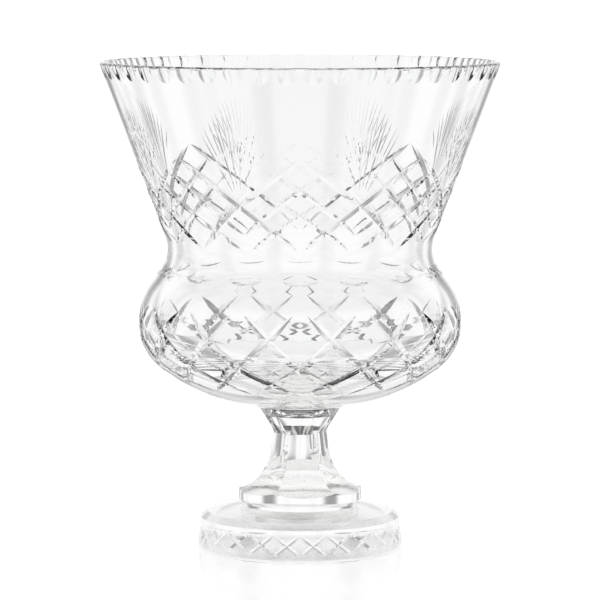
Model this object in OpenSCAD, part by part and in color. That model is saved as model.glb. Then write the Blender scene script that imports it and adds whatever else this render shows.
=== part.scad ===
// Footed punch bowl in clear cut crystal.
// Three cut and polished pieces (bowl, stem, plinth) stand on one axis, and two
// thin clear films of glass adhesive hold them together. +Z is up, and the
// origin is the centre of the plinth's underside.

/* [Bowl] */
// Widest diameter of the round lower part of the bowl
belly_d = 242.6; // [230:0.2:255]
// Radius of the almost flat underside, seen from the side
underside_r = 144.3; // [130:0.1:150]
// Angle at which the underside turns up into the belly
underside_turn = 39; // [36:0.5:40]
// Radius of the belly, seen from the side
belly_r = 39; // [34:0.5:44]
// Length of the upright stretch at the widest place
belly_run = 2; // [0.5:0.5:5]
// Radius of the shoulder above the belly, seen from the side
shoulder_r = 54.9; // [48:0.1:60]
// Slope of the shoulder, measured from the axis
shoulder_lean = 36.6; // [30:0.1:40]
// Length of the straight stretch between shoulder and waist
shoulder_run = 10.3; // [6:0.1:14]
// Radius of the hollow waist, seen from the side
waist_bend_r = 23.9; // [18:0.1:30]
// Lean of the flared upper wall, measured from the axis
flare_lean = 20.7; // [16:0.1:24]
// Height of the flared upper wall, up to where the lip starts to round
flare_h = 129; // [110:0.5:150]

/* [Wall] */
// Thickness of the floor
floor_wall = 14; // [11:0.5:16]
// Thickness at the belly
belly_wall = 9; // [7:0.5:11]
// Thickness at the waist
waist_wall = 6.4; // [5:0.1:8]
// Thickness at the lip
lip_wall = 4.6; // [3.6:0.1:6]

/* [Joint under the bowl] */
// Height of the upper joint above the ground
upper_joint_z = 102; // [100:0.5:105]
// Height of the boss between the joint face and the bowl's underside
boss_h = 5.6; // [4:0.2:8]
// Lean of the cup and of the boss above it, measured from the axis
cup_lean = 32; // [26:0.5:36]
// Radius of the hollow between the neck and the cup
cup_bend_r = 8; // [5:0.5:10]

/* [Stem] */
// Smallest distance from the axis to one of the six panels
panel_apothem = 17.6; // [16:0.1:20]
// Height above the ground at which the panels are narrowest
panel_top_z = 88; // [85:0.5:89]
// Lean of the panels below their narrowest place
panel_lean = 6; // [4:0.5:7]
// Length of the gently leaning part of a panel
panel_run = 12.4; // [10:0.2:13]
// Radius of the panel's long flare
panel_flare_r = 42; // [38:0.5:44]
// Angle from the axis at which the long flare ends
panel_flare_lean = 40; // [36:1:44]
// Radius of the short bend over the foot
panel_foot_r = 18; // [15:0.5:19]
// Slope of the panel where it runs out over the foot, from level
panel_foot_slope = 16; // [12:1:20]
// Lean of the cut that runs out of a panel's top into the cup
panel_head_lean = 34; // [33:0.5:45]
// Depth by which the round neck cuts into the top of each ridge
ridge_polish = 0.3; // [0.2:0.1:0.6]
// Turn of the first panel, seen from above
panel_turn = -25; // [-60:1:60]

/* [Foot] */
// Radius of the stem's round foot
foot_r = 46.2; // [45:0.1:48]
// Bevel on the lower edge of the foot
foot_bevel = 0.6; // [0.3:0.1:1]

/* [Plinth] */
// Radius of the plinth at the ground
plinth_r = 77.3; // [74:0.1:82]
// Radius at the top of the plinth's side
plinth_top_r = 74.8; // [72:0.1:74]
// Height of the plinth's side
plinth_side_h = 24.6; // [22:0.2:27]
// Radius of the shoulder, inside the bevel over the side
plinth_shoulder_r = 70; // [66:0.5:71]
// Height of the shoulder
plinth_shoulder_z = 29.3; // [28:0.1:31]
// Height of the plinth's top where it meets the round pad
plinth_top_z = 33.5; // [32:0.1:34.5]
// Radius of the round pad that carries the stem
pad_r = 43.4; // [40:0.1:44.5]
// Height above the ground of the pad's face
pad_z = 37.3; // [36:0.1:38]
// Radius of the hollow ground into the underside
hollow_r = 60; // [50:1:66]
// Depth of that hollow
hollow_depth = 3.5; // [1:0.5:6]
// Bevel around the plinth's lower edge
plinth_bevel = 1; // [0.5:0.1:1.5]

/* [Adhesive] */
// Thickness of each adhesive film
film_t = 0.2; // [0.1:0.05:0.3]
// Distance by which a film stops short of the edge of its joint face
film_inset = 0.8; // [0.5:0.1:1.5]

/* [Hidden] */
$fn = 160;

crystal = [0.86, 0.89, 0.9, 0.55];
adhesive = [0.93, 0.95, 0.9, 0.5];

panels = 6;
far = 80;                          // further out than any piece of the stem
ridge = cos(180 / panels);         // apothem over corner radius
boss_z = upper_joint_z + film_t;
underside_z = boss_z + boss_h;
foot_z = pad_z + film_t;

// A path is a list of stations, each of them [point, heading].
function along(a) = [cos(a), sin(a)];
function left_of(a) = [-sin(a), cos(a)];
function last(path) = path[len(path) - 1];
function points(path) = [for (s = path) s[0]];
function reversed(list) = [for (i = [len(list) - 1:-1:0]) list[i]];

// The path goes on straight for a length.
function straight(path, length) =
    let (s = last(path))
    concat(path, [[s[0] + length * along(s[1]), s[1]]]);

// The path goes on round an arc, to the left for a positive turn.
function bend(path, r, turn, steps) =
    let (s = last(path), side = sign(turn))
    concat(path, [
        for (i = [1:steps])
            let (a = s[1] + turn * i / steps)
            [s[0] + side * r * (left_of(s[1]) - left_of(a)), a]
    ]);

// The bowl's outer side, from the axis under the floor up to the lip.
belly_turn = 90 - underside_turn;
flat_r = belly_d / 2 - underside_r * sin(underside_turn)
    - belly_r * (1 - sin(underside_turn));
underside = bend([[[0, underside_z], 0], [[flat_r, underside_z], 0]],
    underside_r, underside_turn, 14);
belly = bend(underside, belly_r, belly_turn, 14);
shoulder = bend(straight(belly, belly_run), shoulder_r, shoulder_lean, 10);
waist = bend(straight(shoulder, shoulder_run),
    waist_bend_r, -shoulder_lean - flare_lean, 12);
outer_side = straight(waist, flare_h / cos(flare_lean));
belly_z = last(belly)[0][1];
waist_z = last(waist)[0][1];
lip_z = last(outer_side)[0][1];

// The wall grows thinner from the floor to the lip.
function wall(z) = lookup(z, [
    [underside_z, floor_wall],
    [belly_z, belly_wall],
    [waist_z, waist_wall],
    [lip_z, lip_wall]
]);
inner_side = [for (s = outer_side) s[0] + wall(s[0][1]) * left_of(s[1])];
lip = bend([last(outer_side)], lip_wall / 2, 180, 10);

// One panel of the stem: distance from the axis against height.
panel_low = bend(
    bend(straight([[[panel_apothem, panel_top_z], -90 + panel_lean]], panel_run),
        panel_flare_r, panel_flare_lean - panel_lean, 10),
    panel_foot_r, 90 - panel_foot_slope - panel_flare_lean, 8);
panel_curve = concat(
    reversed(points(straight(panel_low, far))),
    [[panel_apothem, panel_top_z] + far * along(90 - panel_head_lean)]
);

// The stem's round body: the foot, the space the panels are cut from, the neck and the cup.
neck_r = panel_apothem / ridge - ridge_polish;
cup_bend = bend([[[neck_r, panel_top_z], 90]], cup_bend_r, -cup_lean, 8);
cup_bend_end = last(cup_bend)[0];
upper_joint_r = cup_bend_end[0] + (upper_joint_z - cup_bend_end[1]) * tan(cup_lean);

module revolved(outline) {
    rotate_extrude() polygon(outline);
}

module bowl() {
    boss_top = boss_h + floor_wall / 4;
    color(crystal) {
        revolved(concat(points(outer_side), points(lip), reversed(inner_side)));
        translate([0, 0, boss_z])
            cylinder(h = boss_top, r1 = upper_joint_r,
                r2 = upper_joint_r + boss_top * tan(cup_lean));
    }
}

module panel_block() {
    rotate([90, 0, 0])
        linear_extrude(height = 2 * far, center = true)
            polygon(concat(
                panel_curve,
                [for (p = reversed(panel_curve)) [-p[0], p[1]]]
            ));
}

module stem() {
    color(crystal)
        rotate([0, 0, panel_turn])
            intersection() {
                revolved(concat(
                    [[0, foot_z], [foot_r - foot_bevel, foot_z], [foot_r, foot_z + foot_bevel]],
                    [[foot_r, panel_top_z - foot_r / 4]],
                    points(cup_bend),
                    [[upper_joint_r, upper_joint_z], [0, upper_joint_z]]
                ));
                panel_block();
                rotate([0, 0, 60]) panel_block();
                rotate([0, 0, 120]) panel_block();
            }
}

module plinth() {
    ball_r = (pow(hollow_r, 2) + pow(hollow_depth, 2)) / (2 * hollow_depth);
    hollow = [
        for (i = [0:8])
            let (r = hollow_r * i / 8)
            [r, sqrt(pow(ball_r, 2) - pow(r, 2)) - ball_r + hollow_depth]
    ];
    color(crystal)
        revolved(concat(hollow, [
            [plinth_r - plinth_bevel, 0],
            [plinth_r, plinth_bevel],
            [plinth_top_r, plinth_side_h],
            [plinth_shoulder_r, plinth_shoulder_z],
            [pad_r, plinth_top_z],
            [pad_r, pad_z],
            [0, pad_z]
        ]));
}

module bond(r, z) {
    color(adhesive)
        translate([0, 0, z])
            cylinder(h = film_t, r = r - film_inset);
}

module upper_bond() {
    bond(upper_joint_r, upper_joint_z);
}

module lower_bond() {
    bond(pad_r, pad_z);
}

bowl();
upper_bond();
stem();
lower_bond();
plinth();
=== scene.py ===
"""Footed punch bowl in clear cut crystal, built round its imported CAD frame.

Three glass pieces (bowl, stem, plinth) are turned, panelled and cut as surfaces
worked out with numpy, and two thin films of clear adhesive hold them together.
All lengths are in metres. A bearing is an angle round the axis, counted to the
right from the front of the bowl, which faces -Y.
"""

import bmesh
import bpy
import numpy as np
from bpy.props import FloatProperty, FloatVectorProperty, IntProperty, PointerProperty
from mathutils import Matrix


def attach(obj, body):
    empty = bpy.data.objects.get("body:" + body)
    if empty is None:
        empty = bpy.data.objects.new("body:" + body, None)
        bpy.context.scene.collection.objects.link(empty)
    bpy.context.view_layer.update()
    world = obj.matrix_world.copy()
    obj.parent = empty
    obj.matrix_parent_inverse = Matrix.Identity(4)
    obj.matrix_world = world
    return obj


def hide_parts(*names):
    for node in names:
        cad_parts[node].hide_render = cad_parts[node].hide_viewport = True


bl_info = {
    "name": "Cut crystal punch bowl",
    "version": (1, 0, 0),
    "blender": (4, 5, 0),
    "location": "3D View > Sidebar > Punch Bowl",
    "description": "Builds a footed punch bowl in cut crystal on its CAD frame",
    "category": "Add Mesh",
}

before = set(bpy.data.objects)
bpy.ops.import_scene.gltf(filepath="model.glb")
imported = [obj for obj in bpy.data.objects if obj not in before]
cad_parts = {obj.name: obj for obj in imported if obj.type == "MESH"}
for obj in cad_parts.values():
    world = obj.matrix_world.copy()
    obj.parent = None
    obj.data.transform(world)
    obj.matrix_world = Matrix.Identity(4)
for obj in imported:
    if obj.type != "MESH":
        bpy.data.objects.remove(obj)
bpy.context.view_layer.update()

CLEAR, CUT, BONDED, GROUND = range(4)   # order of the finishes on each glass piece
BODY = "root"
SKIM = 0.0004       # how far a wheel's outline stands above the surface it cuts
RUNOUT = 0.00012    # how far a wheel has lifted clear where a cut ends
SAME = 0.00002      # heights closer than this are the same
FILM_GAP = 0.00002  # a film stands clear of both joint faces, as light passes each once
MERGE = 2e-7        # points closer than this are one point
ON_SIDE = 0.00025   # a corner this close to a turned side may lie on it
SHARP = np.radians(13)          # edges of turned glass sharper than this stay crisp
PANEL_SHARP = np.radians(14)    # the same for the panelled stem
FILM_SHARP = np.radians(60)     # the same for a film

BOWL_COLUMNS = 288
PLINTH_COLUMNS = 240
FILM_COLUMNS = 160
PANELS = 6
PANEL_COLUMNS = 26

CRYSTAL_IOR = 1.545
BONDED_IOR = 1.037  # crystal against the adhesive
FINISHES = ("polished_crystal", "cut_crystal_painted_shade", "bonded_crystal", "ground_crystal")
POLISHED_RIPPLES = [(0.045, 0.00006), (0.006, 0.000002)]    # (size, height) pairs
CUT_RIPPLES = [(0.012, 0.00002), (0.0016, 0.000003)]
GROUND_RIPPLES = [(0.0006, 0.00003)]

CUT_FROM_Z = 0.11   # the bowl's cuts lie on its side above this height
PAST_LIP = 0.02     # how far the wheels' path runs on above the lip
FAN_FOOT_Z = 0.2715
FINE_RAY_FOOT_Z = 0.289
FAN_TOP_Z = 0.343
FAN_ARCH = 0.028
FAN_LEAN = np.radians(12.5)
FAN_SIDE = 0.86         # share of the fan's outermost thick rays
FINE_RAY_STEP = 0.13    # share between a thick ray and the finer ones beside it
FINE_RAY_RISE = 0.006   # how much higher than FINE_RAY_FOOT_Z a finer ray starts
FINE_RAY_DROP = 0.0025  # how much lower than a thick ray a finer ray ends
OLIVE_REACH = 4.2       # half an olive's width, over its depth
FLUTE_END = 0.0085  # height of a flute's round end

# Stops of the studio's ramps, as (place, shade).
GAP_STOPS = [(0.0, 0.3), (0.3, 1.0)]            # from a gap's middle outwards
CEILING_STOPS = [(0.5, 1.0), (0.72, 1.0), (0.84, 0.12), (0.96, 0.1), (0.985, 1.0)]
GAP_TOP_STOPS = [(0.9, 0.0), (0.97, 1.0)]       # the gaps fade out near the zenith
PAINTED_GAP_REACH_STOPS = [(0.08, 1.0), (0.14, 0.0)]         # metres: the painted gaps in the floor's painted panel light begin beyond the plinth
PAINTED_UNDER_SHADE_STOPS = [(0.05, 0.88), (0.085, 1.0)]      # metres: painted shade on the floor under the plinth, a darker glow
LIGHT_STRENGTH = 1.02
FLOOR_GLOW = 0.48
FLOOR_HALF = 60.0
CAMERA_PLACE = (0.0, -2.767, 0.4669)
CAMERA_PITCH = np.radians(90 - 5.75)
CAMERA_LENS = 221.6     # millimetres, as the sensor's width is
SENSOR_WIDTH = 36.0
VIEW_REACH = 200.0      # metres
GLASS_BOUNCES = 32
GLOSS_BOUNCES = 16


# ---- settings ---------------------------------------------------------------

def length(name, description, default):
    """A length in metres."""
    return FloatProperty(name=name, description=description, default=default,
                         min=0.0, precision=5, unit="LENGTH", subtype="DISTANCE")


def angle(name, description, degrees):
    """An angle, given in degrees and kept in radians."""
    return FloatProperty(name=name, description=description,
                         default=float(np.radians(degrees)),
                         precision=4, unit="ROTATION", subtype="ANGLE")


def count(name, description, default):
    """A whole number of repeats."""
    return IntProperty(name=name, description=description, default=default, min=3)


def colour(name, description, default):
    """A linear colour without alpha."""
    return FloatVectorProperty(name=name, description=description, default=default,
                               size=3, min=0.0, max=1.0, subtype="COLOR")


class PunchBowlBlank(bpy.types.PropertyGroup):
    """Sizes of the bowl before it is cut."""

    belly_d: length("Belly diameter", "Widest diameter of the round lower part", 0.2426)
    underside_r: length("Underside radius", "Side-view radius of the underside", 0.1443)
    underside_turn: angle("Underside turn", "Angle where the underside meets the belly", 39)
    belly_r: length("Belly radius", "Side-view radius of the belly", 0.039)
    belly_run: length("Belly run", "Upright stretch at the widest place", 0.002)
    shoulder_r: length("Shoulder radius", "Side-view radius of the shoulder", 0.0549)
    shoulder_lean: angle("Shoulder lean", "Slope of the shoulder from the axis", 36.6)
    shoulder_run: length("Shoulder run", "Straight stretch up to the waist", 0.0103)
    waist_r: length("Waist radius", "Side-view radius of the hollow waist", 0.0239)
    flare_lean: angle("Flare lean", "Lean of the flared wall from the axis", 20.7)
    flare_h: length("Flare height", "Height of the flared wall up to the lip", 0.129)
    floor_wall: length("Floor thickness", "Glass thickness in the floor", 0.014)
    belly_wall: length("Belly thickness", "Glass thickness at the belly", 0.009)
    waist_wall: length("Waist thickness", "Glass thickness at the waist", 0.0064)
    lip_wall: length("Lip thickness", "Glass thickness at the lip", 0.0046)
    boss_h: length("Boss height", "Height of the boss under the floor", 0.0056)


class PunchBowlCuts(bpy.types.PropertyGroup):
    """Sizes of the cut patterns on the bowl and the plinth."""

    flutes: count("Flutes", "Round-ended cuts under the lip", 48)
    flute_depth: length("Flute depth", "Depth of a flute at the lip", 0.0015)
    flute_wheel_r: length("Flute section", "Section radius of the fluting wheel", 0.019)
    flute_z: length("Flute foot", "Height of a flute's round lower end", 0.3555)
    peaks: count("Peaks", "Repeats of the upper lattice", 8)
    lattice_depth: length("Lattice depth", "Depth of the upper lattice cuts", 0.0012)
    lattice_flank: angle("Lattice flank", "Slope of an upper lattice cut's flank", 26)
    ray_depth: length("Ray depth", "Depth of a fan's thick rays", 0.00034)
    ray_flank: angle("Ray flank", "Slope of a ray's flank", 19)
    olives: count("Olives", "Pointed oval cuts on the shoulder", 16)
    olive_depth: length("Olive depth", "Depth of an olive", 0.0009)
    olive_length: length("Olive length", "Length of an olive round the bowl", 0.028)
    olive_z: length("Olive height", "Height of the ring of olives", 0.212)
    belly_repeats: count("Belly repeats", "Repeats of the lattice on the belly", 16)
    belly_depth: length("Belly cut depth", "Depth of the belly lattice cuts", 0.0018)
    belly_flank: angle("Belly cut flank", "Slope of a belly cut's flank", 29)
    band_repeats: count("Band repeats", "Crosses in the plinth's band", 24)
    band_depth: length("Band depth", "Depth of the cuts in the plinth's band", 0.001)
    band_flank: angle("Band flank", "Slope of a band cut's flank", 34)
    band_low: length("Band foot", "Height of the lower tips in the band", 0.0055)
    band_high: length("Band head", "Height of the upper tips in the band", 0.021)


class PunchBowlFoot(bpy.types.PropertyGroup):
    """Sizes of the stem, the plinth and the two bonded joints."""

    joint_z: length("Upper joint", "Height of the joint under the bowl", 0.102)
    cup_lean: angle("Cup lean", "Lean of the cup and the boss from the axis", 32)
    cup_r: length("Cup hollow", "Side-view radius between neck and cup", 0.008)
    apothem: length("Panel distance", "Least distance from the axis to a panel", 0.0176)
    panel_top_z: length("Panel top", "Height at which the panels are narrowest", 0.088)
    panel_lean: angle("Panel lean", "Lean of a panel below its narrowest place", 6)
    panel_run: length("Panel run", "Length of the gently leaning part", 0.0124)
    flare_r: length("Panel flare", "Radius of a panel's long flare", 0.042)
    flare_end: angle("Flare end", "Lean at which the long flare ends", 40)
    foot_bend_r: length("Foot bend", "Radius of the short bend over the foot", 0.018)
    foot_slope: angle("Foot slope", "Slope of a panel out over the foot", 16)
    head_lean: angle("Head lean", "Lean of the cut that runs into the cup", 34)
    ridge_polish: length("Ridge polish", "Depth of the neck into each ridge", 0.0003)
    panel_turn: angle("Panel turn", "Turn of the first panel about the axis", -25)
    panel_hollow: length("Panel hollow", "Depth of the hollow across a panel", 0.002)
    foot_r: length("Foot radius", "Radius of the stem's round foot", 0.0462)
    foot_bevel: length("Foot bevel", "Bevel under the foot", 0.0006)
    plinth_r: length("Plinth radius", "Radius of the plinth at the ground", 0.0773)
    plinth_top_r: length("Side top radius", "Radius at the top of the side", 0.0748)
    side_h: length("Side height", "Height of the plinth's side", 0.0246)
    shoulder_r: length("Shoulder radius", "Radius inside the bevel over the side", 0.07)
    shoulder_z: length("Shoulder height", "Height of the plinth's shoulder", 0.0293)
    top_z: length("Top height", "Height where the top meets the pad", 0.0335)
    pad_r: length("Pad radius", "Radius of the pad that carries the stem", 0.0434)
    pad_z: length("Pad height", "Height of the pad's face", 0.0373)
    hollow_r: length("Hollow radius", "Radius of the hollow underneath", 0.06)
    hollow_depth: length("Hollow depth", "Depth of the hollow underneath", 0.0035)
    plinth_bevel: length("Plinth bevel", "Bevel round the lower edge", 0.001)
    film: length("Film thickness", "Thickness of each adhesive film", 0.0002)
    film_inset: length("Film inset", "How far a film stops short of the edge", 0.0008)


class PunchBowlLooks(bpy.types.PropertyGroup):
    """Colours of the glass, the adhesive and the studio."""

    crystal: colour("Crystal", "Colour that clear crystal lets through",
                    (0.985, 0.99, 0.986))
    # A little darker than the crystal's own colour: painted shade in every cut.
    cut_crystal_painted_shade: colour("Cut crystal", "Colour that a cut face lets through",
                        (0.97, 0.98, 0.975))
    adhesive: colour("Adhesive", "Colour that the film lets through", (0.985, 0.985, 0.96))
    floor: colour("Floor", "Colour of the studio floor", (0.9, 0.9, 0.9))


# ---- profiles ---------------------------------------------------------------

def straight(path, distance, steps=1):
    """The path goes on straight.

    A path is an array of rows (radius, height, heading). Each new row adds
    distance / steps along (cos heading, sin heading).
    """
    r, z, h = path[-1]
    s = distance * np.arange(1, steps + 1) / steps
    rows = np.column_stack([r + s * np.cos(h), z + s * np.sin(h), np.full(steps, h)])
    return np.vstack([path, rows])


def bend(path, radius, turn, steps):
    """The path goes on round an arc, to the left for a positive turn.

    With a = heading + turn * i / steps and L(a) = (-sin a, cos a), each new row
    is the last point plus sign(turn) * radius * (L(heading) - L(a)).
    """
    r, z, h = path[-1]
    a = h + turn * np.arange(1, steps + 1) / steps
    side = np.sign(turn) * radius
    rows = np.column_stack([r + side * (np.sin(a) - np.sin(h)),
                            z + side * (np.cos(h) - np.cos(a)), a])
    return np.vstack([path, rows])


def offset(path, distance):
    """Each row moves to its left by distance: (r, z) + distance * (-sin h, cos h)."""
    r, z, h = path.T
    return np.column_stack([r - distance * np.sin(h), z + distance * np.cos(h), h])


def outer_side(blank, foot):
    """The bowl's outer side as one path, from the axis under the floor to the lip.

    Arcs and straights follow one another: flat floor, underside, belly, upright
    run, shoulder, straight run, waist and flare. The flat floor's length is what
    the belly's diameter leaves.
    """
    turn = blank.underside_turn
    floor_r = (blank.belly_d / 2 - blank.underside_r * np.sin(turn)
               - blank.belly_r * (1 - np.sin(turn)))
    floor_z = foot.joint_z + foot.film + blank.boss_h
    path = straight(np.array([[0.0, floor_z, 0.0]]), floor_r, 4)
    path = bend(path, blank.underside_r, turn, 36)
    path = bend(path, blank.belly_r, np.pi / 2 - turn, 18)
    belly_z = path[-1, 1]
    path = straight(path, blank.belly_run)
    path = bend(path, blank.shoulder_r, blank.shoulder_lean, 14)
    path = straight(path, blank.shoulder_run, 3)
    path = bend(path, blank.waist_r, -blank.shoulder_lean - blank.flare_lean, 16)
    waist_z = path[-1, 1]
    path = straight(path, blank.flare_h / np.cos(blank.flare_lean), 18)
    return path, floor_z, belly_z, waist_z


def bowl_profile(blank, foot):
    """(outline, outer path, inner path) of the bowl before it is cut.

    The inner path is the outer one moved left by the wall, which runs straight
    between its named thicknesses over height. A half circle as wide as the wall
    joins them at the lip. The boss is a cone that leans as the cup does, up to
    where it meets the underside.
    """
    outer, floor_z, belly_z, waist_z = outer_side(blank, foot)
    wall = np.interp(outer[:, 1], [floor_z, belly_z, waist_z, outer[-1, 1]],
                     [blank.floor_wall, blank.belly_wall, blank.waist_wall,
                      blank.lip_wall])
    inner = offset(outer, wall)[::-1]
    inner[:, 2] += np.pi
    lip = bend(outer[-1:], blank.lip_wall / 2, np.pi, 10)[1:]
    joint_r = joint_radius(foot)
    boss_z = foot.joint_z + foot.film
    cone = joint_r + (outer[:, 1] - boss_z) * np.tan(foot.cup_lean) - outer[:, 0]
    last = np.flatnonzero(cone < 0)[0] - 1
    t = cone[last] / (cone[last] - cone[last + 1])
    root = outer[last] + t * (outer[last + 1] - outer[last])
    outer = np.vstack([root, outer[last + 1:]])
    lean = np.pi / 2 - foot.cup_lean
    boss = np.array([[0.0, boss_z, 0.0],
                     [joint_r - foot.film_inset, boss_z, 0.0],
                     [joint_r, boss_z, lean],
                     [(joint_r + root[0]) / 2, (boss_z + root[1]) / 2, lean]])
    inner[-1, 0] = 0.0
    return np.vstack([boss, outer, lip, inner]), outer, inner


def cup_path(foot):
    """The stem's neck and cup: a hollow bend from upright to the cup's lean, then
    straight up to the joint."""
    neck_r = foot.apothem / np.cos(np.pi / PANELS) - foot.ridge_polish
    path = bend(np.array([[neck_r, foot.panel_top_z, np.pi / 2]]),
                foot.cup_r, -foot.cup_lean, 12)
    rise = (foot.joint_z - path[-1, 1]) / np.cos(foot.cup_lean)
    return straight(path, rise, 6)


def joint_radius(foot):
    """Radius of the joint face under the bowl, where the cup ends."""
    return cup_path(foot)[-1, 0]


def bonded_radius(foot):
    """Radius of the film under the bowl, which stops short of the joint's edge."""
    return joint_radius(foot) - foot.film_inset


# ---- meshes -----------------------------------------------------------------

def new_object(name, verts, faces):
    """A mesh object with its doubles merged and its faces pointing outwards."""
    mesh = bpy.data.meshes.new(name)
    mesh.from_pydata(verts.tolist(), [], faces)
    bm = bmesh.new()
    bm.from_mesh(mesh)
    bmesh.ops.remove_doubles(bm, verts=bm.verts, dist=MERGE)
    bmesh.ops.dissolve_degenerate(bm, edges=bm.edges, dist=1e-8)
    bmesh.ops.recalc_face_normals(bm, faces=bm.faces)
    bm.to_mesh(mesh)
    bm.free()
    mesh.update()
    piece = bpy.data.objects.new(name, mesh)
    bpy.context.scene.collection.objects.link(piece)
    return piece


def skin(name, points):
    """A closed body from a grid of points, columns round the axis by rows.

    Quads join neighbouring points, the last column joins the first, and a row on
    the axis closes into a pole when doubles are merged.
    """
    columns, rows = points.shape[:2]
    i, j = np.meshgrid(np.arange(columns), np.arange(rows - 1), indexing="ij")
    k = (i + 1) % columns
    quads = np.stack([i * rows + j, k * rows + j, k * rows + j + 1, i * rows + j + 1], -1)
    return new_object(name, points.reshape(-1, 3), quads.reshape(-1, 4).tolist())


def turned(name, outline, columns):
    """A turned body: point (a, v) = (r(v) sin a, -r(v) cos a, z(v))."""
    a = np.arange(columns)[:, None] * 2 * np.pi / columns
    r, z = outline[:, 0], outline[:, 1]
    rise = np.broadcast_to(z, (columns, len(z)))
    return skin(name, np.stack([r * np.sin(a), -r * np.cos(a), rise], -1))


def surface(path, bearing, height):
    """(points, outward normals) on the turned surface of a path at bearings and
    heights. Radius and heading h are read off the path at that height, and the
    normal is (sin h) outwards and (-cos h) upwards."""
    r = np.interp(height, path[:, 1], path[:, 0])
    h = np.interp(height, path[:, 1], path[:, 2])
    out = np.stack([np.sin(bearing), -np.cos(bearing), np.zeros_like(bearing)], -1)
    up = np.array([0.0, 0.0, 1.0])
    points = r[..., None] * out + height[..., None] * up
    normals = np.sin(h)[..., None] * out - np.cos(h)[..., None] * up
    return points, normals


def wheel_cuts(name, path, bearing, height, depth, reach, curve, corners=3):
    """The glass that wheels take away along many cuts, each a closed tube.

    bearing, height and depth are (cuts, stations). At each station the section
    runs across the cut: with u from -1 to 1, side = reach(depth + SKIM) * u and
    out = -depth + (depth + SKIM) * curve(u), so that it is depth deep at u = 0 and
    stands SKIM clear of the surface at its two edges.
    """
    points, normals = surface(path, bearing, height)
    along = np.gradient(points, axis=1)
    across = np.cross(along, normals)
    across /= np.linalg.norm(across, axis=-1, keepdims=True)
    u = np.linspace(-1, 1, corners)
    body = depth + SKIM
    side = reach(body)[..., None] * u
    out = -depth[..., None] + body[..., None] * curve(u)
    tube = (points[:, :, None] + across[:, :, None] * side[..., None]
            + normals[:, :, None] * out[..., None])
    cuts, stations = tube.shape[:2]
    index = np.arange(tube.size // 3).reshape(cuts, stations, corners)
    turn = np.roll(index, -1, axis=2)
    quads = np.stack([index[:, :-1], turn[:, :-1], turn[:, 1:], index[:, 1:]], -1)
    faces = (quads.reshape(-1, 4).tolist() + index[:, 0, ::-1].tolist()
             + index[:, -1].tolist())
    return new_object(name, tube.reshape(-1, 3), faces)


def wedge(flank):
    """Reach and curve of a wheel with a V edge whose flanks slope by an angle."""
    return (lambda body: body / np.tan(flank)), np.abs


def round_edge(radius):
    """Reach and curve of a wheel whose edge is round with a radius: a parabola
    with side = sqrt(2 * radius * body)."""
    return (lambda body: np.sqrt(2 * radius * body)), np.square


def runout(depth, t, start, end):
    """Depth along a cut, t from 0 to 1: full in the middle, and lifted clear of the
    surface over the first and last stretches along a parabola, as a wheel leaves."""
    lift = (np.clip(1 - t / start, 0, 1) ** 2 + np.clip(1 - (1 - t) / end, 0, 1) ** 2)
    return (depth + RUNOUT) * (1 - lift) - RUNOUT


def carve(piece, wheels):
    """Takes each wheel's cuts out of a piece for good and removes the wheels."""
    for wheel in wheels:
        for finish in piece.data.materials:
            wheel.data.materials.append(finish)
        wheel.data.polygons.foreach_set("material_index",
                                        np.full(len(wheel.data.polygons), CUT, np.int32))
        cut = piece.modifiers.new(wheel.name, "BOOLEAN")
        cut.operation = "DIFFERENCE"
        cut.solver = "MANIFOLD"
        cut.object = wheel
    bpy.context.view_layer.update()
    graph = bpy.context.evaluated_depsgraph_get()
    done = bpy.data.meshes.new_from_object(piece.evaluated_get(graph), depsgraph=graph)
    piece.modifiers.clear()
    piece.data = done
    for wheel in wheels:
        bpy.data.meshes.remove(wheel.data)


def smooth(piece, sharp, sides=()):
    """Smooth shading that breaks at edges sharper than an angle.

    Where a face lies on one of the turned sides, within 4 degrees of its slope, its
    corners take that surface's own normal, so that cuts leave the glass round them
    undisturbed. sides are paths of (radius, height, heading).
    """
    mesh = piece.data
    mesh.polygons.foreach_set("use_smooth", np.ones(len(mesh.polygons), bool))
    mesh.set_sharp_from_angle(angle=sharp)
    if not sides:
        return
    loops = len(mesh.loops)
    normals = np.zeros(loops * 3, np.float32)
    mesh.corner_normals.foreach_get("vector", normals)
    normals = normals.reshape(-1, 3)
    vertex = np.zeros(loops, np.int32)
    mesh.loops.foreach_get("vertex_index", vertex)
    co = np.zeros(len(mesh.vertices) * 3, np.float32)
    mesh.vertices.foreach_get("co", co)
    co = co.reshape(-1, 3)
    size = np.zeros(len(mesh.polygons), np.int32)
    mesh.polygons.foreach_get("loop_total", size)
    flat = np.zeros(len(mesh.polygons) * 3, np.float32)
    mesh.polygons.foreach_get("normal", flat)
    flat = np.repeat(flat.reshape(-1, 3), size, axis=0)
    radius = np.hypot(co[:, 0], co[:, 1])
    out = co[:, :2] / np.maximum(radius, 1e-9)[:, None]
    for side in sides:
        r, z, h = fine(side, ON_SIDE)
        near, gap = nearest(radius, co[:, 2], r, z)
        true = np.column_stack([out * np.sin(h[near])[:, None], -np.cos(h[near])])
        true = true[vertex]
        agree = np.einsum("ij,ij->i", true, flat) > np.cos(np.radians(4.0))
        on_side = agree & (gap[vertex] < ON_SIDE)
        normals[on_side] = true[on_side]
    mesh.normals_split_custom_set(normals)


def fine(path, step):
    """A path's radius, height and heading at even steps along its length."""
    run = np.append(0, np.cumsum(np.hypot(*np.diff(path[:, :2], axis=0).T)))
    s = np.linspace(0, run[-1], int(run[-1] / step))
    return [np.interp(s, run, column) for column in path.T]


def nearest(x, y, px, py):
    """For each (x, y), the index of the closest (px, py), and the distance."""
    index = np.zeros(len(x), np.int64)
    gap = np.zeros(len(x))
    for part in np.array_split(np.arange(len(x)), max(1, len(x) // 4000)):
        d = (x[part, None] - px) ** 2 + (y[part, None] - py) ** 2
        index[part] = d.argmin(1)
        gap[part] = np.sqrt(d.min(1))
    return index, gap


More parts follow.
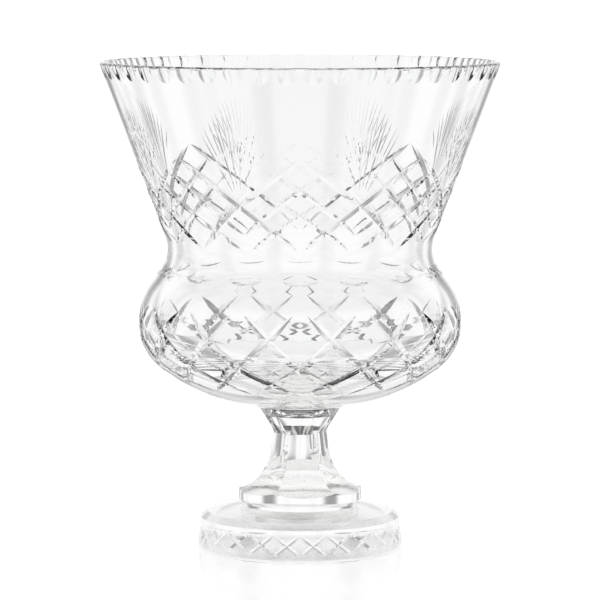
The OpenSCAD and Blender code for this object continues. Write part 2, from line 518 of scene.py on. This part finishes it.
def finish_faces(piece, finish, low, high, radius):
    """Level faces between two heights, within a radius of the axis, take a finish."""
    mesh = piece.data
    centre = np.zeros(len(mesh.polygons) * 3, np.float32)
    mesh.polygons.foreach_get("center", centre)
    normal = np.zeros(len(mesh.polygons) * 3, np.float32)
    mesh.polygons.foreach_get("normal", normal)
    centre, normal = centre.reshape(-1, 3), normal.reshape(-1, 3)
    index = np.zeros(len(mesh.polygons), np.int32)
    mesh.polygons.foreach_get("material_index", index)
    here = (centre[:, 2] > low - SAME) & (centre[:, 2] < high + SAME)
    here &= np.abs(normal[:, 2]) > 0.98
    here &= np.hypot(centre[:, 0], centre[:, 1]) < radius
    index[here] = finish
    mesh.polygons.foreach_set("material_index", index)


# ---- finishes ---------------------------------------------------------------

def glass(name, tint, ior, roughness, ripples):
    """A clear finish with ripples.

    ripples are (size, height) pairs in metres: each adds a smooth noise of that
    size and height to the surface as bump, and the finest also varies the polish
    between roughness[0] and roughness[1].
    """
    finish = bpy.data.materials.new(name)
    finish.use_nodes = True
    nodes, links = finish.node_tree.nodes, finish.node_tree.links
    shader = nodes["Principled BSDF"]
    shader.inputs["Base Color"].default_value = (*tint, 1.0)
    shader.inputs["IOR"].default_value = ior
    shader.inputs["Transmission Weight"].default_value = 1.0
    shader.inputs["Roughness"].default_value = roughness[0]
    where = nodes.new("ShaderNodeTexCoord")
    last = None
    for size, height in ripples:
        noise = nodes.new("ShaderNodeTexNoise")
        noise.inputs["Scale"].default_value = 1.0 / size
        noise.inputs["Detail"].default_value = 1.0
        links.new(where.outputs["Object"], noise.inputs["Vector"])
        bump = nodes.new("ShaderNodeBump")
        bump.inputs["Strength"].default_value = 1.0
        bump.inputs["Distance"].default_value = height
        links.new(noise.outputs["Fac"], bump.inputs["Height"])
        if last:
            links.new(last.outputs["Normal"], bump.inputs["Normal"])
        last = bump
    if last:
        links.new(last.outputs["Normal"], shader.inputs["Normal"])
        polish = nodes.new("ShaderNodeMapRange")
        polish.inputs["From Min"].default_value = 0.35
        polish.inputs["From Max"].default_value = 0.75
        polish.inputs["To Min"].default_value = roughness[0]
        polish.inputs["To Max"].default_value = roughness[1]
        links.new(noise.outputs["Fac"], polish.inputs["Value"])
        links.new(polish.outputs["Result"], shader.inputs["Roughness"])
    return finish


def glass_finishes(looks):
    """Makes the finishes of a glass piece, in the order CLEAR, CUT, BONDED, GROUND."""
    clear = (1.0, 1.0, 1.0)
    glass(FINISHES[CLEAR], looks.crystal, CRYSTAL_IOR, (0.0, 0.006), POLISHED_RIPPLES)
    # The cut finish's tint is darker than the clear crystal's, which paints a faint shade
    # into the cuts.
    glass(FINISHES[CUT], looks.cut_crystal_painted_shade, CRYSTAL_IOR, (0.0, 0.03), CUT_RIPPLES)
    glass(FINISHES[BONDED], clear, BONDED_IOR, (0.0, 0.0), [])
    glass(FINISHES[GROUND], clear, CRYSTAL_IOR, (0.2, 0.4), GROUND_RIPPLES)


def adhesive(looks):
    """Clear adhesive. It matches the glass it joins, so it bends no light, and a
    soft noise varies its tint between the adhesive's colour and clear."""
    film = finished("clear_adhesive")
    if film:
        return film
    film = glass("clear_adhesive", looks.adhesive, 1.0, (0.0, 0.0), [])
    nodes, links = film.node_tree.nodes, film.node_tree.links
    where = nodes.new("ShaderNodeTexCoord")
    noise = nodes.new("ShaderNodeTexNoise")
    noise.inputs["Scale"].default_value = 180.0
    ramp = nodes.new("ShaderNodeValToRGB")
    ramp.color_ramp.elements[0].color = (*looks.adhesive, 1.0)
    ramp.color_ramp.elements[1].color = (1.0, 1.0, 1.0, 1.0)
    links.new(where.outputs["Object"], noise.inputs["Vector"])
    links.new(noise.outputs["Fac"], ramp.inputs["Fac"])
    links.new(ramp.outputs["Color"], nodes["Principled BSDF"].inputs["Base Color"])
    return film


def finished(name):
    """The finish of that name if it has been made."""
    return bpy.data.materials.get(name)


def dress(piece, looks):
    """Gives a glass piece its finishes, made once and shared."""
    if not finished(FINISHES[CLEAR]):
        glass_finishes(looks)
    for name in FINISHES:
        piece.data.materials.append(finished(name))


# ---- the bowl ---------------------------------------------------------------

def spread(pattern, repeats):
    """Bearings of a pattern repeated round the axis: every row of pattern is added
    to every one of the evenly spaced bearings."""
    turns = np.arange(repeats) * 2 * np.pi / repeats
    return (turns[:, None, None] + pattern[None]).reshape(-1, pattern.shape[-1])


def repeat(rows, repeats):
    """The same rows once for every repeat."""
    return np.tile(rows, (repeats, 1))


def lattice_wheels(path, cuts, hand):
    """The upper lattice's cuts that lean one way (hand is 1 or -1).

    Each of the three cuts under a peak is straight on the unrolled surface:
    bearing and height both run evenly from a start to an end. The first is
    the long one that forms the peak and crosses to the next peak's foot.
    """
    t = np.linspace(0, 1, 14)
    starts = np.radians([[0.0], [-7.5], [-15.0]])
    ends = np.radians([[45.0], [22.5], [21.0]])
    top = np.array([[0.301], [0.2895], [0.278]])
    foot = np.array([[0.232], [0.245], [0.233]])
    bearing = starts + (ends - starts) * t
    height = top + (foot - top) * t
    weight = np.array([[1.0], [0.85], [0.85]])
    depth = runout(cuts.lattice_depth, np.broadcast_to(t, (3, 14)), 0.16, 0.22) * weight
    return wheel_cuts("lattice_wheel", path, spread(hand * bearing, cuts.peaks),
                      repeat(height, cuts.peaks), repeat(depth, cuts.peaks),
                      *wedge(cuts.lattice_flank))


def belly_wheels(path, cuts, hand):
    """The belly lattice's cuts that lean one way (hand is 1 or -1).

    Bearing against height is a smooth cubic through five places: each cut starts
    beside a peak on the upper belly, crosses its neighbours at the belly, and
    fades out on the underside two repeats further on.
    """
    pitch = 2 * np.pi / cuts.belly_repeats
    places = np.array([0.1, 0.5, 1.0, 1.5, 2.0]) * pitch
    heights = np.array([0.189, 0.170, 0.149, 0.1355, 0.126])
    height = np.interp(np.linspace(0, 1, 22), np.linspace(0, 1, 5), heights)
    cubic = np.polynomial.Polynomial.fit(heights, places, 3)
    bearing = cubic(height)[None]
    t = np.linspace(0, 1, 22)[None]
    depth = runout(cuts.belly_depth, t, 0.22, 0.4)
    return wheel_cuts("belly_wheel", path, spread(hand * bearing, cuts.belly_repeats),
                      repeat(height[None], cuts.belly_repeats),
                      repeat(depth, cuts.belly_repeats), *wedge(cuts.belly_flank))


def fan_wheels(path, cuts, parity):
    """Every other ray of the fans (parity 0 or 1).

    A fan is five thick rays with a finer ray on each side of every thick one's
    upper part. A ray's share of the fan's spread is its thick ray's share plus
    FINE_RAY_STEP for a step to the side. Its top lies on an arch, height =
    FAN_TOP_Z - FAN_ARCH * |share| ** 2.2, and FINE_RAY_DROP lower for a finer ray.
    Its bearing runs with height from near the fan's middle to its full lean, so it
    is straight on the unrolled surface.
    """
    thick, step = np.meshgrid(np.linspace(-FAN_SIDE, FAN_SIDE, 5), np.arange(-1, 2),
                              indexing="ij")
    thick = thick.ravel()[parity::2]
    step = step.ravel()[parity::2]
    share = thick + FINE_RAY_STEP * step
    t = np.linspace(0, 1, 12)
    foot_z = np.where(step == 0, FAN_FOOT_Z,
                      FINE_RAY_FOOT_Z + FINE_RAY_RISE * np.abs(step))
    top_z = FAN_TOP_Z - FAN_ARCH * np.abs(share) ** 2.2 - FINE_RAY_DROP * np.abs(step)
    height = foot_z[:, None] + (top_z - foot_z)[:, None] * t
    lean = share * FAN_LEAN
    reach = (height - FAN_FOOT_Z) / (top_z - FAN_FOOT_Z)[:, None]
    bearing = np.pi / cuts.peaks + lean[:, None] * (0.08 + 0.92 * reach)
    weight = np.where(step == 0, 1.0, 0.7)[:, None]
    depth = runout(cuts.ray_depth, np.broadcast_to(t, height.shape), 0.6, 0.5) * weight
    return wheel_cuts("fan_wheel", path, spread(bearing, cuts.peaks),
                      repeat(height, cuts.peaks), repeat(depth, cuts.peaks),
                      *wedge(cuts.ray_flank))


def flute_wheels(path, cuts, parity):
    """Every other flute under the lip (parity 0 or 1).

    A flute runs straight down from above the lip at one bearing. Its depth is full
    down to FLUTE_END above its foot and then falls along a parabola, which with a
    round wheel gives a round end.
    """
    turns = (np.arange(cuts.flutes)[parity::2] + 0.5) * 2 * np.pi / cuts.flutes
    rise = np.array([0, 0.03, 0.08, 0.16, 0.28, 0.45, 0.7, 1, 1.4, 2.2])
    height = cuts.flute_z + FLUTE_END * rise
    fall = np.clip((cuts.flute_z + FLUTE_END - height) / FLUTE_END, 0, 1)
    depth = (cuts.flute_depth + RUNOUT) * (1 - fall ** 2) - RUNOUT
    shape = (len(turns), len(height))
    return wheel_cuts("flute_wheel", path, np.broadcast_to(turns[:, None], shape),
                      np.broadcast_to(height, shape), np.broadcast_to(depth, shape),
                      *round_edge(cuts.flute_wheel_r), corners=13)


def olive_wheels(path, cuts):
    """The ring of olives on the shoulder.

    An olive runs level, deepest in the middle: depth falls off as 1 - x * x over
    half its length. Its section is a parabola 2 * OLIVE_REACH times as wide as it is
    deep, so it ends in two points.
    """
    x = np.linspace(-1, 1, 17)
    r = np.interp(cuts.olive_z, path[:, 1], path[:, 0])
    bearing = (cuts.olive_length / 2 / r * x)[None]
    height = np.full((1, 17), cuts.olive_z)
    depth = ((cuts.olive_depth + RUNOUT) * (1 - x ** 2) - RUNOUT)[None]
    return wheel_cuts("olive_wheel", path, spread(bearing, cuts.olives),
                      repeat(height, cuts.olives), repeat(depth, cuts.olives),
                      lambda body: OLIVE_REACH * body, np.square, corners=9)


class PUNCHBOWL_OT_cut_bowl(bpy.types.Operator):
    """Turns the crystal bowl and cuts its flutes, fans, lattices and olives"""

    bl_idname = "punchbowl.cut_bowl"
    bl_label = "Cut Bowl"

    def execute(self, context):
        own = context.scene.punch_bowl
        outline, outer, inner = bowl_profile(own.blank, own.foot)
        bowl = turned("cut_bowl", outline, BOWL_COLUMNS)
        dress(bowl, own.looks)
        side = straight(outer[outer[:, 1] > CUT_FROM_Z], PAST_LIP)
        cuts = own.cuts
        carve(bowl, [
            lattice_wheels(side, cuts, 1), lattice_wheels(side, cuts, -1),
            belly_wheels(side, cuts, 1), belly_wheels(side, cuts, -1),
            fan_wheels(side, cuts, 0), fan_wheels(side, cuts, 1),
            flute_wheels(side, cuts, 0), flute_wheels(side, cuts, 1),
            olive_wheels(side, cuts),
        ])
        smooth(bowl, SHARP, [outer, inner])
        boss_z = own.foot.joint_z + own.foot.film
        finish_faces(bowl, BONDED, boss_z, boss_z, bonded_radius(own.foot))
        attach(bowl, BODY)
        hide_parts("bowl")
        return {"FINISHED"}


# ---- the stem ---------------------------------------------------------------

def stem_points(foot):
    """The stem as a grid, bearings round the axis by rows up its side.

    Six flat-sided panels stand round the axis. A panel's distance from the axis is
    low(z) under its narrowest place and head(z) above it, so on a bearing b from
    the panel's middle its radius is low(z) / cos b or head(z) / cos b. The radius
    is never more than the round foot's or the cup's. On every bearing the rows are
    pushed to the height where one gives way to the other, so each edge is crisp.
    Across each panel a shallow hollow takes hollow * cos(3 b) off the radius.
    """
    path = np.array([[foot.apothem, foot.panel_top_z, foot.panel_lean - np.pi / 2]])
    path = straight(path, foot.panel_run, 5)
    path = bend(path, foot.flare_r, foot.flare_end - foot.panel_lean, 20)
    path = bend(path, foot.foot_bend_r, np.pi / 2 - foot.foot_slope - foot.flare_end, 12)
    path = straight(path, 0.04, 12)
    low_r, low_z = path[::-1, 0], path[::-1, 1]
    share = 0.5 - 0.5 * np.cos(np.linspace(0, np.pi, PANEL_COLUMNS + 1))
    b = np.tile((share * 2 - 1)[:-1] * np.pi / PANELS, PANELS)
    turn = np.arange(PANELS) * 2 * np.pi / PANELS
    turn = np.repeat(turn, PANEL_COLUMNS) + foot.panel_turn
    cos_b = np.cos(b)[:, None]
    foot_z = foot.pad_z + foot.film
    hollow = foot.panel_hollow * np.cos(3 * b)[:, None]
    edge = np.interp((foot.foot_r + hollow) * cos_b, path[:, 0], path[:, 1])
    rows_low = np.maximum(low_z[None], edge)
    r_low = np.interp(rows_low, low_z, low_r) / cos_b - hollow
    cup = cup_path(foot)
    neck = np.minimum(r_low, cup[0, 0] + (foot.panel_top_z - rows_low)
                      * (foot.foot_r - cup[0, 0]) / (foot.foot_r / 4))
    rise = np.linspace(0, 1, 400) * (foot.joint_z - foot.panel_top_z)
    cup_r = np.interp(foot.panel_top_z + rise, cup[:, 1], cup[:, 0])
    head_r = (foot.apothem + rise * np.tan(foot.head_lean)) / cos_b - hollow
    rounded = head_r < cup_r
    meet = np.where(rounded, rise, 0).max(1)[:, None]
    rows_head = np.minimum(np.linspace(0, 1, 12)[1:] * rise[-1], meet)
    r_head = (foot.apothem + rows_head * np.tan(foot.head_lean)) / cos_b - hollow
    r_head = np.minimum(r_head, np.interp(foot.panel_top_z + rows_head,
                                          cup[:, 1], cup[:, 0]))
    rows_cup = np.maximum(cup[:, 1] - foot.panel_top_z, meet)
    r_cup = np.interp(foot.panel_top_z + rows_cup, cup[:, 1], cup[:, 0])
    flat = [(0.0, foot_z), (foot.pad_r - foot.film_inset, foot_z),
            (foot.foot_r - foot.foot_bevel, foot_z), (foot.foot_r, foot_z + foot.foot_bevel)]
    top = [(joint_radius(foot) - foot.film_inset, foot.joint_z), (0.0, foot.joint_z)]
    columns = len(b)
    r = np.hstack([np.tile([p[0] for p in flat], (columns, 1)), neck, r_head, r_cup,
                   np.tile([p[0] for p in top], (columns, 1))])
    z = np.hstack([np.tile([p[1] for p in flat], (columns, 1)), rows_low,
                   rows_head + foot.panel_top_z, rows_cup + foot.panel_top_z,
                   np.tile([p[1] for p in top], (columns, 1))])
    a = (turn + b)[:, None]
    return np.stack([r * np.cos(a), r * np.sin(a), z], -1)


class PUNCHBOWL_OT_panelled_stem(bpy.types.Operator):
    """Makes the six-panelled crystal stem with its round foot and cup"""

    bl_idname = "punchbowl.panelled_stem"
    bl_label = "Panelled Stem"

    def execute(self, context):
        own = context.scene.punch_bowl
        foot = own.foot
        stem = skin("panelled_stem", stem_points(foot))
        dress(stem, own.looks)
        smooth(stem, PANEL_SHARP)
        foot_z = foot.pad_z + foot.film
        finish_faces(stem, BONDED, foot.joint_z, foot.joint_z, bonded_radius(foot))
        finish_faces(stem, BONDED, foot_z, foot_z, foot.pad_r - foot.film_inset)
        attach(stem, BODY)
        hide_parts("stem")
        return {"FINISHED"}


# ---- the plinth -------------------------------------------------------------

def plinth_outline(foot):
    """The plinth's outline, corner by corner from the axis underneath.

    The hollow is a ball's cap: z = sqrt(R * R - r * r) - R + depth, with
    R = (hollow_r ** 2 + depth ** 2) / (2 * depth). Straights join the corners.
    """
    ball = (foot.hollow_r ** 2 + foot.hollow_depth ** 2) / (2 * foot.hollow_depth)
    r = np.linspace(0, foot.hollow_r, 13)
    hollow = np.column_stack([r, np.sqrt(ball ** 2 - r ** 2) - ball + foot.hollow_depth])
    corners = np.array([
        [foot.plinth_r - foot.plinth_bevel, 0], [foot.plinth_r, foot.plinth_bevel],
        [foot.plinth_top_r, foot.side_h], [foot.shoulder_r, foot.shoulder_z],
        [foot.pad_r, foot.top_z], [foot.pad_r, foot.pad_z],
        [foot.pad_r - foot.film_inset, foot.pad_z], [0, foot.pad_z]])
    return np.vstack([hollow, corners])


def band_wheels(foot, cuts, hand):
    """The cuts of the plinth's band that lean one way (hand is 1 or -1).

    Each runs straight on the unrolled side from an upper tip down to a lower tip
    one repeat further on.
    """
    lean = np.arctan2(foot.side_h - foot.plinth_bevel, foot.plinth_top_r - foot.plinth_r)
    side = np.array([[foot.plinth_r, foot.plinth_bevel, lean],
                     [foot.plinth_top_r, foot.side_h, lean]])
    t = np.linspace(0, 1, 9)[None]
    bearing = hand * t * 2 * np.pi / cuts.band_repeats
    height = cuts.band_high + (cuts.band_low - cuts.band_high) * t
    depth = runout(cuts.band_depth, t, 0.2, 0.2)
    return wheel_cuts("band_wheel", side, spread(bearing, cuts.band_repeats),
                      repeat(height, cuts.band_repeats), repeat(depth, cuts.band_repeats),
                      *wedge(cuts.band_flank))


class PUNCHBOWL_OT_cut_plinth(bpy.types.Operator):
    """Turns the crystal plinth and cuts the band of crosses round its side"""

    bl_idname = "punchbowl.cut_plinth"
    bl_label = "Cut Plinth"

    def execute(self, context):
        own = context.scene.punch_bowl
        foot = own.foot
        plinth = turned("cut_plinth", plinth_outline(foot), PLINTH_COLUMNS)
        dress(plinth, own.looks)
        carve(plinth, [band_wheels(foot, own.cuts, 1), band_wheels(foot, own.cuts, -1)])
        smooth(plinth, SHARP)
        finish_faces(plinth, GROUND, 0.0, foot.hollow_depth, foot.plinth_r)
        finish_faces(plinth, BONDED, foot.pad_z, foot.pad_z, foot.pad_r - foot.film_inset)
        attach(plinth, BODY)
        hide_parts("plinth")
        return {"FINISHED"}


class PUNCHBOWL_OT_bond_joints(bpy.types.Operator):
    """Lays the two clear films of glass adhesive between the joint faces"""

    bl_idname = "punchbowl.bond_joints"
    bl_label = "Bond Joints"

    def execute(self, context):
        own = context.scene.punch_bowl
        foot = own.foot
        for name, node, radius, z in (
                ("upper_film", "upper_bond", joint_radius(foot), foot.joint_z),
                ("lower_film", "lower_bond", foot.pad_r, foot.pad_z)):
            r = radius - foot.film_inset
            low, high = z + FILM_GAP, z + foot.film - FILM_GAP
            swell = r + (high - low) / 2
            outline = np.array([[0, low], [r, low], [swell, (low + high) / 2],
                                [r, high], [0, high]])
            film = turned(name, outline, FILM_COLUMNS)
            film.data.materials.append(adhesive(own.looks))
            smooth(film, FILM_SHARP)
            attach(film, BODY)
            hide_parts(node)
        return {"FINISHED"}


# ---- the studio -------------------------------------------------------------

def node_tools(tree):
    """(add, calculate, ramp): short ways to make nodes in a tree."""
    nodes, links = tree.nodes, tree.links

    def add(kind, **inputs):
        node = nodes.new(kind)
        for name, value in inputs.items():
            links.new(value, node.inputs[name])
        return node

    def calculate(operation, *values):
        node = nodes.new("ShaderNodeMath")
        node.operation = operation
        for socket, value in zip(node.inputs, values):
            if isinstance(value, float):
                socket.default_value = value
            else:
                links.new(value, socket)
        return node.outputs[0]

    def ramp(value, stops):
        node = add("ShaderNodeValToRGB", Fac=value)
        while len(node.color_ramp.elements) < len(stops):
            node.color_ramp.elements.new(0.5)
        for element, (place, shade) in zip(node.color_ramp.elements, stops):
            element.position = place
            element.color = (shade, shade, shade, 1.0)
        node.color_ramp.interpolation = "EASE"
        return node.outputs["Color"]

    return add, calculate, ramp


def panel_gaps(calculate, ramp, x, y):
    """Grey in the soft gaps between eight broad light panels, white elsewhere: the
    shade is GAP_STOPS at 0.5 + 0.5 * cos(8 * turn), with turn = atan2(y, x)."""
    turn = calculate("ARCTAN2", y, x)
    gap = calculate("COSINE", calculate("MULTIPLY", turn, 8.0))
    return ramp(calculate("MULTIPLY_ADD", gap, 0.5, 0.5), GAP_STOPS)


def studio_light(strength):
    """World light: eight broad panels stand round the bowl with soft grey gaps
    between them, under a dark ceiling with a bright lamp in its middle."""
    world = bpy.data.worlds.new("soft_studio")
    bpy.context.scene.world = world
    world.use_nodes = True
    tree = world.node_tree
    add, calculate, ramp = node_tools(tree)
    background = tree.nodes["Background"]
    background.inputs["Strength"].default_value = strength
    where = add("ShaderNodeTexCoord")
    split = add("ShaderNodeSeparateXYZ", Vector=where.outputs["Generated"])
    x, y, z = split.outputs
    height = calculate("MULTIPLY_ADD", z, 0.5, 0.5)
    ceiling = ramp(height, CEILING_STOPS)
    gaps = panel_gaps(calculate, ramp, x, y)
    shade = calculate("MAXIMUM", gaps, ramp(height, GAP_TOP_STOPS))
    tree.links.new(calculate("MULTIPLY", ceiling, shade), background.inputs["Color"])


def studio_floor(looks):
    """A wide pale floor with a faint soft gloss and an even glow. What the glass sees of it
    is a painted glow: painted light of the panels, with their gaps, and painted shade under
    the plinth."""
    corners = FLOOR_HALF * np.array([[-1, -1, 0], [1, -1, 0], [1, 1, 0], [-1, 1, 0]])
    floor = new_object("studio_floor", corners, [[0, 1, 2, 3]])
    paper = bpy.data.materials.new("pale_floor")
    paper.use_nodes = True
    tree = paper.node_tree
    add, calculate, ramp = node_tools(tree)
    shader = tree.nodes["Principled BSDF"]
    shader.inputs["Base Color"].default_value = (*looks.floor, 1.0)
    shader.inputs["Roughness"].default_value = 0.15
    shader.inputs["IOR"].default_value = 1.25
    shader.inputs["Emission Color"].default_value = (1.0, 1.0, 1.0, 1.0)
    shader.inputs["Emission Strength"].default_value = FLOOR_GLOW
    where = add("ShaderNodeTexCoord")
    split = add("ShaderNodeSeparateXYZ", Vector=where.outputs["Object"])
    x, y, _ = split.outputs
    away = add("ShaderNodeVectorMath", Vector=where.outputs["Object"])
    away.operation = "LENGTH"
    # Painted light: the panels' light and their grey gaps are painted onto the floor's glow.
    gaps = panel_gaps(calculate, ramp, x, y)
    near = ramp(away.outputs["Value"], PAINTED_GAP_REACH_STOPS)
    # Painted shade: the glow is darker in a disc under the plinth.
    under = ramp(away.outputs["Value"], PAINTED_UNDER_SHADE_STOPS)
    painted_floor_light = add("ShaderNodeEmission",
               Color=calculate("MULTIPLY", calculate("MAXIMUM", gaps, near), under))
    # Only camera rays see the floor's own shading. Every other ray, such as those through
    # the glass, sees the painted glow.
    direct = add("ShaderNodeLightPath")
    both = add("ShaderNodeMixShader", Fac=direct.outputs["Is Camera Ray"])
    tree.links.new(painted_floor_light.outputs["Emission"], both.inputs[1])
    tree.links.new(shader.outputs["BSDF"], both.inputs[2])
    tree.links.new(both.outputs["Shader"], tree.nodes["Material Output"].inputs["Surface"])
    floor.data.materials.append(paper)


class PUNCHBOWL_OT_studio(bpy.types.Operator):
    """Makes the pale floor, the soft light and the camera"""

    bl_idname = "punchbowl.studio"
    bl_label = "Studio"

    def execute(self, context):
        scene = context.scene
        studio_floor(scene.punch_bowl.looks)
        studio_light(LIGHT_STRENGTH)
        lens = bpy.data.cameras.new("camera")
        lens.sensor_width = SENSOR_WIDTH
        lens.lens = CAMERA_LENS
        lens.clip_end = VIEW_REACH
        camera = bpy.data.objects.new("camera", lens)
        camera.location = CAMERA_PLACE
        camera.rotation_euler = (CAMERA_PITCH, 0.0, 0.0)
        scene.collection.objects.link(camera)
        scene.camera = camera
        scene.view_settings.view_transform = "Standard"
        scene.cycles.max_bounces = GLASS_BOUNCES
        scene.cycles.transmission_bounces = GLASS_BOUNCES
        scene.cycles.glossy_bounces = GLOSS_BOUNCES
        scene.cycles.caustics_reflective = True
        scene.cycles.caustics_refractive = True
        return {"FINISHED"}


# ---- the add-on -------------------------------------------------------------

class PunchBowlSettings(bpy.types.PropertyGroup):
    """All the settings of the punch bowl."""

    blank: PointerProperty(type=PunchBowlBlank)
    cuts: PointerProperty(type=PunchBowlCuts)
    foot: PointerProperty(type=PunchBowlFoot)
    looks: PointerProperty(type=PunchBowlLooks)


OPERATORS = (PUNCHBOWL_OT_cut_bowl, PUNCHBOWL_OT_panelled_stem, PUNCHBOWL_OT_cut_plinth,
             PUNCHBOWL_OT_bond_joints, PUNCHBOWL_OT_studio)


class PUNCHBOWL_PT_panel(bpy.types.Panel):
    """Lists the pieces of the punch bowl and their settings"""

    bl_idname = "PUNCHBOWL_PT_panel"
    bl_label = "Punch Bowl"
    bl_space_type = "VIEW_3D"
    bl_region_type = "UI"
    bl_category = "Punch Bowl"

    def draw(self, context):
        for step in OPERATORS:
            self.layout.operator(step.bl_idname)
        own = context.scene.punch_bowl
        for group in (own.blank, own.cuts, own.foot, own.looks):
            box = self.layout.box()
            for name in group.bl_rna.properties.keys():
                if name not in ("rna_type", "name"):
                    box.prop(group, name)


CLASSES = (PunchBowlBlank, PunchBowlCuts, PunchBowlFoot, PunchBowlLooks,
           PunchBowlSettings, *OPERATORS, PUNCHBOWL_PT_panel)


def register():
    """Registers the classes and the scene's settings."""
    for each in CLASSES:
        bpy.utils.register_class(each)
    bpy.types.Scene.punch_bowl = PointerProperty(type=PunchBowlSettings)


def unregister():
    """Takes the settings and the classes away again."""
    del bpy.types.Scene.punch_bowl
    for each in reversed(CLASSES):
        bpy.utils.unregister_class(each)


def main():
    register()
    bpy.ops.punchbowl.cut_bowl()
    bpy.ops.punchbowl.panelled_stem()
    bpy.ops.punchbowl.cut_plinth()
    bpy.ops.punchbowl.bond_joints()
    bpy.ops.punchbowl.studio()


if __name__ == "__main__":
    main()
